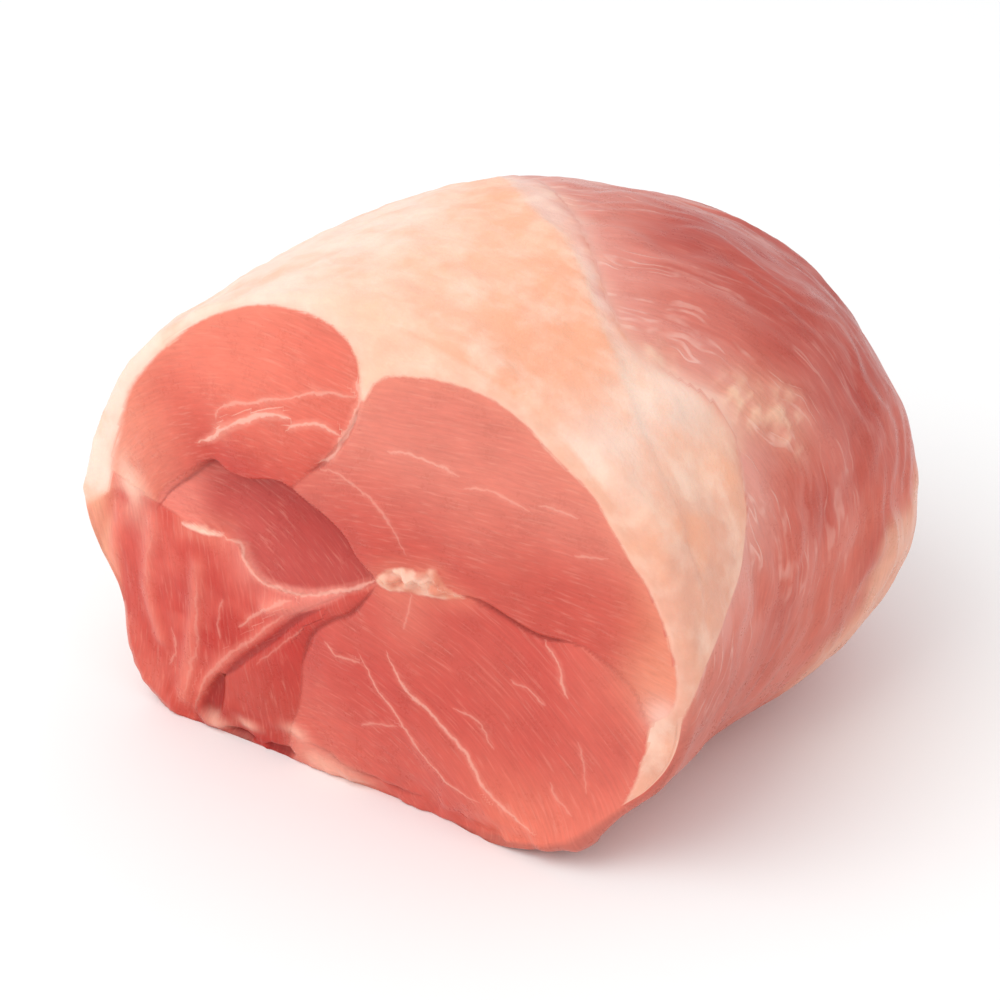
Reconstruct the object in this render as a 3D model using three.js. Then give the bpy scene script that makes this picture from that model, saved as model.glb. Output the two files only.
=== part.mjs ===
// A boneless, skinless leg of pork, lying on its underside with one flat cut face to the front.
// It is one piece of meat, so the whole of it is one closed body.
//
// Millimetres, +Z up. While it is drawn, y = 0 is the rim of the cut face, which looks along -Y,
// x = 0 is the middle of that face and z = 0 is the table. At the end it is moved so that the
// origin is the middle of the bottom of its box.

import * as THREE from "three";

// Lengths along the joint of meat, from the rim of the cut face.
const DEPTH = 191; // to the tip of the far end
const BARREL = 100; // to where the sides begin to close over the far end
const FAR_END_STRETCH = 1.3; // extra share of the rows given to the far end
const FAR_END_SQUARENESS = 0.9; // power on the cosine that closes the far end: 1 is an ellipse

// The cut face.
const DOME = 8; // how far its middle stands out from its rim
const DOME_POWER = 2.4;
const EDGE_RADIUS = 4; // rounding between the cut face and the sides, halfway up
const EDGE_RADIUS_CHANGE = 0.5; // how much more it is at the top, and less at the bottom

// The lower edge of the cut face slumps forward over the table, most of all at one place on the
// right, the toe. The slump dies away along the joint.
const SLUMP = 3.5;
const TOE_SLUMP = 8;
const TOE_ANGLE = 313;
const TOE_SPREAD = 16;
const SLUMP_FADE = 30;

// Cross-sections along the joint. Each is four quarter superellipses around its widest level:
// left, right and top are its reaches, widest is the height of that level, sink is how far the
// round shape would go below the table, where it lies flat, and shift moves it to the right.
// The last four are the superellipse powers: 2 is an ellipse, more is squarer.
const SECTIONS = [
  {
    y: 0, left: 99, right: 104, top: 155, widest: 66, sink: 4, shift: 0,
    upperLeft: 1.93, upperRight: 2, lowerLeft: 3, lowerRight: 2.62,
  },
  {
    y: 45, left: 100.5, right: 102, top: 157.5, widest: 68, sink: 8, shift: 3,
    upperLeft: 1.88, upperRight: 2.1, lowerLeft: 2.8, lowerRight: 2.6,
  },
  {
    y: 90, left: 99, right: 104, top: 156.5, widest: 70, sink: 8, shift: 9,
    upperLeft: 1.85, upperRight: 2.2, lowerLeft: 2.4, lowerRight: 2.5,
  },
  {
    y: 135, left: 92, right: 98, top: 145, widest: 70, sink: 8, shift: 17,
    upperLeft: 1.75, upperRight: 2.2, lowerLeft: 2.2, lowerRight: 2.4,
  },
];

// Places where the meat stands proud of those sections, or sinks in where the height is below 0.
// angle is in degrees around the section from +X towards +Z, and y is along the joint.
const SWELLS = [
  { name: "waist on the left", angle: 198, y: 4, angleSpread: 8, ySpread: 34, height: -6.5 },
  { name: "lower left corner", angle: 221, y: 6, angleSpread: 10, ySpread: 34, height: 8.5 },
  { name: "fat on the left", angle: 180, y: 6, angleSpread: 8, ySpread: 30, height: 3 },
  { name: "slope of the far end", angle: 30, y: 175, angleSpread: 26, ySpread: 36, height: -10 },
  { name: "right haunch", angle: 345, y: 140, angleSpread: 20, ySpread: 44, height: 3 },
  { name: "tuck under the right", angle: 332, y: 14, angleSpread: 10, ySpread: 34, height: -3 },
];

// How finely the surface is divided.
const AROUND = 72;
const WALL_ROWS = 30;
const EDGE_ROWS = 4;
const FACE_ROWS = 9;

const MEAT = new THREE.MeshStandardMaterial({
  color: new THREE.Color().setRGB(0.87, 0.47, 0.41, THREE.SRGBColorSpace),
  roughness: 0.42,
  metalness: 0,
});

const DEGREES = 180 / Math.PI;

// A value of the sections at y, on a smooth cubic through all of them, level past the last one.
function along(name, y) {
  const last = SECTIONS.length - 1;
  const slope = (i) => (SECTIONS[i + 1][name] - SECTIONS[i][name]) / (SECTIONS[i + 1].y - SECTIONS[i].y);
  const tangent = (i) => (slope(Math.max(i - 1, 0)) + slope(Math.min(i, last - 1))) / 2;
  let i = 0;
  while (i < last - 1 && y > SECTIONS[i + 1].y) i += 1;
  const a = SECTIONS[i];
  const b = SECTIONS[i + 1];
  const h = b.y - a.y;
  const t = THREE.MathUtils.clamp((y - a.y) / h, 0, 1);
  const r = 1 - t;
  return (
    (1 + 2 * t) * r * r * a[name] +
    t * r * r * h * tangent(i) +
    t * t * (3 - 2 * t) * b[name] -
    t * t * r * h * tangent(i + 1)
  );
}

// The sum of the swells at an angle and a depth.
function swellAt(angle, y) {
  let height = 0;
  for (const swell of SWELLS) {
    const turn = THREE.MathUtils.euclideanModulo(angle * DEGREES - swell.angle + 180, 360) - 180;
    const away = (turn / swell.angleSpread) ** 2 + ((y - swell.y) / swell.ySpread) ** 2;
    height += swell.height * Math.exp(-away);
  }
  return height;
}

// The point of the section at y in the direction of angle, shrunk by scale and then by inset.
function sectionPoint(angle, y, scale, inset) {
  const c = Math.cos(angle);
  const s = Math.sin(angle);
  const widest = along("widest", y);
  const side = c > 0 ? "right" : "left";
  const across = along(side, y);
  const up = s > 0 ? along("top", y) - widest : widest + along("sink", y);
  const power = along((s > 0 ? "upper" : "lower") + (c > 0 ? "Right" : "Left"), y);
  const round = ((Math.abs(c) / across) ** power + (Math.abs(s) / up) ** power) ** (-1 / power);
  const reach = (round + swellAt(angle, y)) * scale - inset;
  return [along("shift", y) + reach * c, widest + reach * s];
}

// How far the lower edge has slumped forward.
function slumpAt(angle, y) {
  const below = Math.max(-Math.sin(angle), 0) ** 1.5;
  const toe = Math.exp(-(((angle * DEGREES - TOE_ANGLE) / TOE_SPREAD) ** 2));
  return (SLUMP * below + TOE_SLUMP * toe) * Math.exp(-((y / SLUMP_FADE) ** 2));
}

// A point of the side wall: t runs from 0 at the rim of the cut face to 1 at the far tip.
function wallPoint(angle, t) {
  const barrelShare = BARREL / (BARREL + (DEPTH - BARREL) * FAR_END_STRETCH);
  const closing = (THREE.MathUtils.clamp((t - barrelShare) / (1 - barrelShare), 0, 1) * Math.PI) / 2;
  const y = t < barrelShare ? (BARREL * t) / barrelShare : BARREL + (DEPTH - BARREL) * Math.sin(closing);
  const scale = Math.max(Math.cos(closing), 0) ** FAR_END_SQUARENESS;
  const radius = EDGE_RADIUS + EDGE_RADIUS_CHANGE * Math.sin(angle);
  const fromEdge = 1 - Math.min(y / radius, 1);
  const inset = radius * (1 - Math.sqrt(1 - fromEdge * fromEdge));
  const [x, z] = sectionPoint(angle, y, scale, inset);
  return new THREE.Vector3(x, y - slumpAt(angle, y), Math.max(z, 0));
}

// A point of the cut face: share runs from 0 in its middle to 1 at its rim.
function facePoint(angle, share) {
  const rim = wallPoint(angle, 0);
  const middle = SECTIONS[0].widest;
  const out = DOME * (1 - share ** DOME_POWER);
  return new THREE.Vector3(share * rim.x, share * share * rim.y - out, middle + share * (rim.z - middle));
}

// Rings of points from the middle of the cut face, out to its rim and back to the far tip.
function rings() {
  const barrelShare = BARREL / (BARREL + (DEPTH - BARREL) * FAR_END_STRETCH);
  const edgeShare = (barrelShare * (EDGE_RADIUS + EDGE_RADIUS_CHANGE)) / BARREL;
  const list = [];
  const ring = (pointAt) =>
    Array.from({ length: AROUND }, (_, i) => pointAt((2 * Math.PI * i) / AROUND));
  for (let i = 1; i <= FACE_ROWS; i += 1) {
    list.push(ring((angle) => facePoint(angle, i / FACE_ROWS)));
  }
  for (let i = 1; i <= EDGE_ROWS; i += 1) {
    list.push(ring((angle) => wallPoint(angle, edgeShare * (i / EDGE_ROWS) ** 2)));
  }
  for (let i = 1; i < WALL_ROWS; i += 1) {
    list.push(ring((angle) => wallPoint(angle, edgeShare + (1 - edgeShare) * (i / WALL_ROWS))));
  }
  return list;
}

// One closed surface: a fan at each pole and a strip of quads between each pair of rings.
function closedSurface(list, firstPole, lastPole) {
  const points = [firstPole, ...list.flat(), lastPole];
  const positions = points.flatMap((p) => [p.x, p.y, p.z]);
  const at = (row, i) => 1 + row * AROUND + (i % AROUND);
  const end = points.length - 1;
  const faces = [];
  for (let i = 0; i < AROUND; i += 1) {
    faces.push(0, at(0, i), at(0, i + 1));
    faces.push(end, at(list.length - 1, i + 1), at(list.length - 1, i));
    for (let row = 0; row < list.length - 1; row += 1) {
      faces.push(at(row, i), at(row + 1, i), at(row + 1, i + 1));
      faces.push(at(row, i), at(row + 1, i + 1), at(row, i + 1));
    }
  }
  const geometry = new THREE.BufferGeometry();
  geometry.setAttribute("position", new THREE.Float32BufferAttribute(positions, 3));
  geometry.setIndex(faces);
  return geometry;
}

// Moves the geometry so that the origin is the middle of the bottom of its box.
function standAtOrigin(geometry) {
  geometry.computeBoundingBox();
  const { min, max } = geometry.boundingBox;
  geometry.translate(-(min.x + max.x) / 2, -(min.y + max.y) / 2, -min.z);
  geometry.computeVertexNormals();
  return geometry;
}

const surface = closedSurface(rings(), facePoint(0, 0), wallPoint(0, 1));
const meat = new THREE.Mesh(standAtOrigin(surface), MEAT);
meat.name = "pork_leg";

const porkLeg = new THREE.Group();
porkLeg.add(meat);

export default porkLeg;
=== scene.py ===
"""A raw, boneless, skinless leg of pork on a plain studio floor, built as one closed surface.

The surface is one sheet of points. It starts in the middle of the cut face, runs out to the rim,
turns the edge, and goes back along the sides to the far tip. Three sets of numbers lie over it:

- front: millimetres across and up the cut face, carried on past the rim along the sides,
- side: the turn around the leg, from +X towards +Z, as millimetres on a circle of SIDE_RADIUS, and
  millimetres of surface back from the rim,
- place: the point itself.

Muscles, seams, veins and fat are drawn as smooth curves in those numbers. The same curves shape
the surface and colour it.
"""

import math

import bpy
import numpy as np
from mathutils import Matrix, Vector


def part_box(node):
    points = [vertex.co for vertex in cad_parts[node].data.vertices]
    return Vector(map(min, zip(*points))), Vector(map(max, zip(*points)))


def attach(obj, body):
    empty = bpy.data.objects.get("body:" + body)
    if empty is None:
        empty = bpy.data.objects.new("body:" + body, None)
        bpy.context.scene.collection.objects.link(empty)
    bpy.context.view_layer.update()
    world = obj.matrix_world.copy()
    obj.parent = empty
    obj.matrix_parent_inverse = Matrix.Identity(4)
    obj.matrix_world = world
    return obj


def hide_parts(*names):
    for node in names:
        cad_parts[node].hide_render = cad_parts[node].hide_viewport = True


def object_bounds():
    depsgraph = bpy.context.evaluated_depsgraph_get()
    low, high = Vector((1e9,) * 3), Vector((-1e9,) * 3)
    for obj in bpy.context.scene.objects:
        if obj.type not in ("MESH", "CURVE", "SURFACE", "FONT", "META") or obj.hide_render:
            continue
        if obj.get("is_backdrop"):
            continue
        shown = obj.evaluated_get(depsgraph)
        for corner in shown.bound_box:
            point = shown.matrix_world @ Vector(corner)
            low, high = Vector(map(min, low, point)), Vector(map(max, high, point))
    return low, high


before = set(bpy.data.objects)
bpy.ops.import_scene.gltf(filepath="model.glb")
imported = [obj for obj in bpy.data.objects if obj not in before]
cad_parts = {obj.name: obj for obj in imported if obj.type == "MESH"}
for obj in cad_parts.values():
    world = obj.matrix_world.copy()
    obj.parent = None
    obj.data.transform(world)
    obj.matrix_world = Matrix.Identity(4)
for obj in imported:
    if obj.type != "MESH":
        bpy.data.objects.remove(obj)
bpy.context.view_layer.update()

bl_info = {
    "name": "Pork Leg",
    "version": (1, 0, 0),
    "blender": (4, 5, 0),
    "location": "View3D > Sidebar > Pork Leg",
    "description": "Builds a raw boneless leg of pork and a plain studio around it",
    "category": "Add Mesh",
}

NODE = "pork_leg"
PIECE = "pork_leg_meat"
MM = 0.001

# ---------------------------------------------------------------- the plain body, in millimetres

DEPTH = 191.0  # from the rim of the cut face to the far tip
BARREL = 100.0  # from the rim to where the sides begin to close
FAR_END_STRETCH = 1.3
FAR_END_SQUARENESS = 0.9
DOME = 8.0  # how far the middle of the cut face stands out
DOME_POWER = 2.4
EDGE_RADIUS = 4.0
EDGE_RADIUS_CHANGE = 0.5
SLUMP = 3.5
TOE_SLUMP = 8.0
TOE_ANGLE = 313.0
TOE_SPREAD = 16.0
SLUMP_FADE = 30.0

# Cross-sections along the leg: reaches, heights and superellipse powers at each depth.
SECTIONS = {
    "y": (0, 45, 90, 135),
    "left": (99, 100.5, 99, 92),
    "right": (104, 102, 104, 98),
    "top": (155, 157.5, 156.5, 145),
    "widest": (66, 68, 70, 70),
    "sink": (4, 8, 8, 8),
    "shift": (0, 3, 9, 17),
    "upper_left": (1.93, 1.88, 1.85, 1.75),
    "upper_right": (2.0, 2.1, 2.2, 2.2),
    "lower_left": (3.0, 2.8, 2.4, 2.2),
    "lower_right": (2.62, 2.6, 2.5, 2.4),
}

# Swells of the body: angle, depth, spread of each, and height.
SWELLS = (
    (198, 4, 8, 34, -6.5),
    (221, 6, 10, 34, 8.5),
    (180, 6, 8, 30, 3.0),
    (30, 175, 26, 36, -10.0),
    (345, 140, 20, 44, 3.0),
    (332, 14, 10, 34, -3.0),
)


def along(name, y):
    """A section's value at depth y, on the cubic through all of them, level past the last."""
    at = np.asarray(SECTIONS["y"], float)
    value = np.asarray(SECTIONS[name], float)
    slope = np.diff(value) / np.diff(at)
    tangent = np.concatenate([slope[:1], (slope[:-1] + slope[1:]) / 2, slope[-1:]])
    i = np.clip(np.searchsorted(at, y) - 1, 0, len(at) - 2)
    step = at[i + 1] - at[i]
    t = np.clip((y - at[i]) / step, 0, 1)
    r = 1 - t
    before = (1 + 2 * t) * r * r * value[i] + t * r * r * step * tangent[i]
    after = t * t * (3 - 2 * t) * value[i + 1] - t * t * r * step * tangent[i + 1]
    return before + after


def turn_between(angle, centre):
    """Degrees from centre to angle, the short way round."""
    return (np.degrees(angle) - centre + 180) % 360 - 180


def body_wall(angle, t):
    """The side at an angle, t from 0 at the rim to 1 at the tip: a superellipse section, whose
    reach shrinks as a cosine over the far end and whose first few millimetres are rounded."""
    share = BARREL / (BARREL + (DEPTH - BARREL) * FAR_END_STRETCH)
    closing = np.clip((t - share) / (1 - share), 0, 1) * np.pi / 2
    y = np.where(t < share, BARREL * t / share, BARREL + (DEPTH - BARREL) * np.sin(closing))
    scale = np.clip(np.cos(closing), 0, 1) ** FAR_END_SQUARENESS
    radius = EDGE_RADIUS + EDGE_RADIUS_CHANGE * np.sin(angle)
    from_edge = 1 - np.clip(y / radius, 0, 1)
    inset = radius * (1 - np.sqrt(1 - from_edge**2))
    c, s = np.cos(angle), np.sin(angle)
    widest = along("widest", y)
    across = np.where(c > 0, along("right", y), along("left", y))
    up = np.where(s > 0, along("top", y) - widest, along("sink", y) + widest)
    upper = np.where(c > 0, along("upper_right", y), along("upper_left", y))
    lower = np.where(c > 0, along("lower_right", y), along("lower_left", y))
    power = np.where(s > 0, upper, lower)
    reach = ((np.abs(c) / across) ** power + (np.abs(s) / up) ** power) ** (-1 / power)
    for centre, depth, turn_spread, depth_spread, height in SWELLS:
        away = (turn_between(angle, centre) / turn_spread) ** 2
        reach = reach + height * np.exp(-away - ((y - depth) / depth_spread) ** 2)
    reach = reach * scale - inset
    below = np.clip(-s, 0, 1) ** 1.5
    toe = np.exp(-((turn_between(angle, TOE_ANGLE) / TOE_SPREAD) ** 2))
    slump = (SLUMP * below + TOE_SLUMP * toe) * np.exp(-((y / SLUMP_FADE) ** 2))
    z = np.maximum(widest + reach * s, 0)
    return np.stack([along("shift", y) + reach * c, y - slump, z], -1)


def body_face(angle, share):
    """The cut face: straight lines from its middle, share 0, to the rim, share 1, domed out."""
    rim = body_wall(angle, np.zeros_like(angle))
    middle = SECTIONS["widest"][0]
    y = share**2 * rim[:, 1] - DOME * (1 - share**DOME_POWER)
    return np.stack([share * rim[:, 0], y, middle + share * (rim[:, 2] - middle)], -1)


# --------------------------------------------------------------------- the sheet of points

FACE_SIDE = 200  # squares along each side of the face's grid, so four times that around the rim
FINE_RINGS = 7  # rings over the rounded edge that keep the face's spacing
FINE_DEPTH = 5.0
ROW_STEP = 1.5  # millimetres between the rings behind them
TIP_LIMIT = 24  # a ring is never thinned below this many points
FINE_POWER = 1.3  # above 1 the rings over the edge stand closest at the rim
PROBES = 4001  # points measured along the top to place the rings
CROWDED = 0.55  # share of the row step below which a ring is thinned
LAST_GAP = 0.4  # share of the row step left free before the tip
CROWDING = 0.2  # how much closer the points stand on top than underneath
RUN_TURNS = 240  # steps around and along of the table of distances behind the rim
RUN_STEPS = 600
SIDE_RADIUS = 90.0  # millimetres that stand for one radian of turn in the side curves


def spread_angle(turn):
    """Even steps of turn made closer on top and wider underneath."""
    return turn + CROWDING * np.cos(turn)


def face_grid():
    """A square grid folded onto a disc: each square ring of the grid becomes one round ring."""
    line = np.linspace(-1, 1, FACE_SIDE + 1)
    u, v = np.meshgrid(line, line)
    wide = np.abs(u) > np.abs(v)
    top = np.where(wide, u, v)
    safe = np.where(top == 0, 1, top)
    turn = np.where(wide, np.pi / 4 * v / safe, np.pi / 2 - np.pi / 4 * u / safe)
    turn = np.where(top < 0, turn + np.pi, turn)
    return turn.ravel(), np.abs(top).ravel()


def ring_plan():
    """The rings behind the rim as (t, count), thinned by half wherever they grow crowded."""
    share = BARREL / (BARREL + (DEPTH - BARREL) * FAR_END_STRETCH)
    count = 4 * FACE_SIDE
    fine = share * FINE_DEPTH / BARREL
    plan = [(fine * (i / FINE_RINGS) ** FINE_POWER, count) for i in range(1, FINE_RINGS + 1)]
    probe = np.linspace(plan[-1][0], 1, PROBES)
    path = body_wall(np.full_like(probe, np.pi / 2), probe)
    run = np.concatenate([[0], np.cumsum(np.linalg.norm(np.diff(path, axis=0), axis=1))])
    count //= 2
    for distance in np.arange(ROW_STEP, run[-1] - LAST_GAP * ROW_STEP, ROW_STEP):
        t = float(np.interp(distance, run, probe))
        around = 2 * np.pi * (run[-1] - distance)
        if around / count < CROWDED * ROW_STEP and count // 2 >= TIP_LIMIT:
            count //= 2
        plan.append((t, count))
    return plan


def face_index():
    """The index of each point of the face's grid, by row and column."""
    return np.arange((FACE_SIDE + 1) ** 2).reshape(FACE_SIDE + 1, FACE_SIDE + 1)


def rim_order():
    """Grid indices around the square's border, from the lower right corner, anticlockwise."""
    n = FACE_SIDE
    index = face_index()
    sides = index[:-1, n], index[n, :0:-1], index[:0:-1, 0], index[0, :-1]
    return np.concatenate(sides)


def strip(outer, inner):
    """Faces between one ring and the next one back, which has as many points or half of them."""
    after = np.roll(inner, -1)
    if len(outer) == len(inner):
        return np.stack([outer, inner, after, np.roll(outer, -1)], 1), np.empty((0, 3), int)
    first, middle, last = outer[0::2], outer[1::2], np.roll(outer, -2)[0::2]
    corners = [np.stack([first, inner, middle], 1), np.stack([inner, after, middle], 1)]
    return np.empty((0, 4), int), np.concatenate(corners + [np.stack([middle, after, last], 1)])


class Sheet:
    """The plain body as points and faces, with the front and side numbers of every point."""

    def __init__(self):
        turn, share = face_grid()
        self.face_count = len(turn)
        index = face_index()
        corners = index[:-1, :-1], index[:-1, 1:], index[1:, 1:], index[1:, :-1]
        quads = [np.stack(corners, -1).reshape(-1, 4)]
        triangles = []
        angles, depths = [spread_angle(turn)], [np.zeros(len(turn))]
        ring, total = rim_order(), len(turn)
        for t, count in ring_plan():
            angles.append(spread_angle(-np.pi / 4 + 2 * np.pi * np.arange(count) / count))
            depths.append(np.full(count, t))
            new = np.arange(total, total + count)
            total += count
            four, three = strip(ring, new)
            quads.append(four)
            triangles.append(three)
            ring = new
        triangles.append(np.stack([ring, np.full(len(ring), total), np.roll(ring, -1)], 1))
        self.angle = np.concatenate(angles + [np.zeros(1)])
        self.t = np.concatenate(depths + [np.ones(1)])
        self.share = np.concatenate([share, np.ones(len(self.angle) - len(share))])
        self.quads = np.concatenate(quads)
        self.triangles = np.concatenate(triangles)
        on_face = np.arange(len(self.angle)) < self.face_count
        wall = body_wall(self.angle, self.t)
        face = body_face(self.angle[on_face], share)
        self.place = wall
        self.place[on_face] = face
        self.on_face = on_face
        self.run = self.run_behind_rim()
        rim = body_wall(self.angle, np.zeros_like(self.angle))
        middle = np.array([0.0, SECTIONS["widest"][0]])
        spoke = rim[:, ::2] - middle
        length = np.linalg.norm(spoke, axis=1, keepdims=True)
        carried = middle + spoke * (1 + self.run[:, None] / length)
        self.front = np.where(on_face[:, None], self.place[:, ::2], carried)
        degrees = (np.degrees(self.angle) + 90) % 360 - 90
        self.side = np.stack([np.radians(degrees) * SIDE_RADIUS, self.run], 1)
        self.to_rim = np.where(on_face, (1 - self.share) * length[:, 0], 0)

    def run_behind_rim(self):
        """Millimetres of surface from the rim back to each point, measured at its own angle."""
        angle = np.linspace(0, 2 * np.pi, RUN_TURNS + 1)
        t = np.linspace(0, 1, RUN_STEPS + 1)
        table = body_wall(*(m.ravel() for m in np.meshgrid(angle, t)))
        table = table.reshape(RUN_STEPS + 1, RUN_TURNS + 1, 3)
        step = np.linalg.norm(np.diff(table, axis=0), axis=-1)
        run = np.concatenate([np.zeros((1, RUN_TURNS + 1)), np.cumsum(step, axis=0)])
        a = (self.angle % (2 * np.pi)) / (2 * np.pi) * RUN_TURNS
        b = self.t * RUN_STEPS
        i = np.minimum(a.astype(int), RUN_TURNS - 1)
        j = np.minimum(b.astype(int), RUN_STEPS - 1)
        fa, fb = a - i, b - j
        low = run[j, i] * (1 - fa) + run[j, i + 1] * fa
        high = run[j + 1, i] * (1 - fa) + run[j + 1, i + 1] * fa
        return low * (1 - fb) + high * fb

    def normals(self, place):
        """Outward normals of the points: the mean of their faces' area vectors."""
        total = np.zeros_like(place)
        for faces in (self.quads, self.triangles):
            a = place[faces[:, 0]] - place[faces[:, 2]]
            b = place[faces[:, 1]] - place[faces[:, -1]]
            if faces.shape[1] == 3:
                b = place[faces[:, 1]] - place[faces[:, 2]]
            area = np.cross(a, b)
            for k in range(faces.shape[1]):
                for axis in range(3):
                    total[:, axis] += np.bincount(faces[:, k], area[:, axis], len(place))
        return total / np.maximum(np.linalg.norm(total, axis=1, keepdims=True), 1e-12)


# ------------------------------------------------------------------------ noise and curves

SEED_SHIFT = 31.7  # moves the noise of each seed to another place
OCTAVE_STEP = 2.03  # how much finer each octave is than the one before
NOISE_HEIGHT = 1.6  # brings the noise to about -1 to 1
FLAT_LEVEL = 0.37  # the third number of points given by two


def smooth(value, low, high):
    """0 below low, 1 above high, and a smooth step between."""
    t = np.clip((value - low) / (high - low), 0, 1)
    return t * t * (3 - 2 * t)


def hump(value, width):
    """1 at value 0, falling away as a bell of that width."""
    return np.exp(-((value / width) ** 2))


def noise(points, size, seed, octaves=1):
    """Gradient noise about 0, of features that size, with finer octaves at half the height."""
    points = np.asarray(points, float) / size + SEED_SHIFT * (seed % 7)
    rng = np.random.default_rng(seed)
    table = rng.permutation(256)
    slopes = rng.normal(size=(256, 3))
    slopes /= np.linalg.norm(slopes, axis=1, keepdims=True)
    total, height = np.zeros(len(points)), 1.0
    for octave in range(octaves):
        p = points * OCTAVE_STEP**octave
        cell = np.floor(p).astype(int)
        inside = p - cell
        fade = inside**3 * (inside * (inside * 6 - 15) + 10)
        for corner in range(8):
            step = np.array([corner & 1, corner >> 1 & 1, corner >> 2 & 1])
            at = (cell + step) & 255
            key = table[(table[(table[at[:, 0]] + at[:, 1]) & 255] + at[:, 2]) & 255]
            weight = np.prod(np.where(step, fade, 1 - fade), axis=1)
            total += height * weight * np.einsum("ij,ij->i", slopes[key], inside - step)
        height /= 2
    return total * NOISE_HEIGHT


def flat_noise(across, size, seed, octaves=1):
    """The same noise for points given by two numbers."""
    return noise(np.column_stack([across, np.full(len(across), FLAT_LEVEL)]), size, seed, octaves)


def curve(points, closed=False, steps=6):
    """A smooth curve through the points: Catmull-Rom pieces, each cut into steps."""
    p = np.asarray(points, float)
    if closed:
        p = np.concatenate([p[-1:], p, p[:2]])
    else:
        p = np.concatenate([2 * p[:1] - p[1:2], p, 2 * p[-1:] - p[-2:-1]])
    t = np.linspace(0, 1, steps, endpoint=False)[:, None, None]
    a, b, c, d = (p[i : len(p) - 3 + i][None] for i in range(4))
    bend, twist = 2 * a - 5 * b + 4 * c - d, 3 * b - a - 3 * c + d
    line = 0.5 * (2 * b + (c - a) * t + bend * t**2 + twist * t**3)
    line = line.transpose(1, 0, 2).reshape(-1, 2)
    return line if closed else np.concatenate([line, p[-2:-1]])


def nearest(at, line, closed=False):
    """Distance to a line, which side of it each point is on, and the share of its length there."""
    a = line
    b = np.roll(line, -1, axis=0) if closed else line[1:]
    a = a if closed else line[:-1]
    run = b - a
    length = np.maximum(np.linalg.norm(run, axis=1), 1e-9)
    before = np.concatenate([[0], np.cumsum(length)])
    best = np.full(len(at), 1e9)
    side, share = np.zeros(len(at)), np.zeros(len(at))
    for i in range(len(run)):
        away = at - a[i]
        t = np.clip(away @ run[i] / length[i] ** 2, 0, 1)
        gap = np.hypot(away[:, 0] - t * run[i, 0], away[:, 1] - t * run[i, 1])
        closer = gap < best
        best = np.where(closer, gap, best)
        cross = run[i, 0] * away[:, 1] - run[i, 1] * away[:, 0]
        side = np.where(closer, np.where(cross >= 0, 1.0, -1.0), side)
        share = np.where(closer, (before[i] + t * length[i]) / before[-1], share)
    return best, side, share


def inside_by(at, points):
    """Distance inside a smooth closed outline: above 0 within it, below 0 outside."""
    line = curve(points, closed=True)
    gap = nearest(at, line, closed=True)[0]
    x, y = at.T
    within = np.zeros(len(at), bool)
    for (x0, y0), (x1, y1) in zip(line, np.roll(line, -1, axis=0)):
        if y0 != y1:
            within ^= ((y0 > y) != (y1 > y)) & (x < (x1 - x0) * (y - y0) / (y1 - y0) + x0)
    return np.where(within, gap, -gap)


class Lines:
    """Lines on the surface, each kept as a signed distance and a half width at every point, so
    that a material can draw them finer than the points. The half width is below 0 away from a
    line. Lines of one set stay apart from each other."""

    REACH = 3.2  # how far from a line it still counts
    NOWHERE = 9.0  # the distance kept for points no line comes near
    MARGIN = 6  # how far around a line its distances are worked out
    TAPER = 5  # how quickly the ends widen to the full width, per share of the length
    FALL = 0.25  # half width lost for each millimetre past half the reach
    THINNEST = 0.02  # a half width below this is no line

    def __init__(self, at, table):
        self.at = at
        self.gap = np.full(len(at), self.NOWHERE)
        self.width = np.full(len(at), -1.0)
        self.strength = np.zeros(len(at))
        for line in table:
            self.add(*line)

    def add(self, width, strength, ends, points):
        """A line of that half width, which narrows to the given shares of it at its two ends."""
        line = curve(points)
        low, high = line.min(0) - self.MARGIN, line.max(0) + self.MARGIN
        near = np.flatnonzero(((self.at > low) & (self.at < high)).all(1))
        gap, side, share = nearest(self.at[near], line)
        taper = np.minimum(ends[0] + share * self.TAPER, ends[1] + (1 - share) * self.TAPER)
        past = np.clip(gap - self.REACH / 2, 0, self.NOWHERE)
        here = width * np.clip(taper, 0, 1) - self.FALL * past - self.THINNEST
        closer = gap < np.abs(self.gap[near])
        chosen = near[closer]
        self.gap[chosen] = (gap * side)[closer]
        self.width[chosen] = here[closer]
        self.strength[chosen] = strength

    def shown(self, amount, softness):
        """That amount on the lines, by their strength, and 0 off them."""
        rise = smooth(self.width - np.abs(self.gap), -softness, softness) * (self.width > 0)
        return amount * rise * self.strength

    def numbers(self):
        """The three numbers of every point, for the material to read."""
        return np.column_stack([self.gap, self.width, self.strength])


# ------------------------------------------------------ muscles and fat of the cut face (front)

# Borders that two outlines share.
LEFT_RIM = (
    (-88, 84), (-84, 96), (-78, 110), (-67, 124), (-53, 137), (-36, 146), (-18, 149), (-7, 147),
    (0, 140),
)
RIGHT_RIM = (
    (20, 139.5), (36, 140), (50, 135.5), (61, 127), (72.5, 119.5), (78, 112), (84.5, 103),
    (90.6, 94.5), (95.3, 84.5), (98.8, 73),
)
LIP = ((-71, 75), (-68, 80), (-59, 88), (-49, 96), (-43, 94), (-35, 94), (-25, 97))
LEFT_TOP = ((-62, 73), (-53, 72), (-44, 73), (-39, 71), (-35, 66), (-31, 62), (-26, 61))
FLAP_TOP = (
    (-3, 68), (-13, 60), (-21, 54), (-30, 44), (-40, 34), (-50, 23), (-57, 13), (-61, 5),
    (-62, -14),
)
FLAP_RIGHT = (
    (9, 74), (4, 67), (-1, 61), (-7, 57), (-14, 50), (-18, 42), (-20, 30), (-22, 20), (-26, 8),
)

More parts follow.
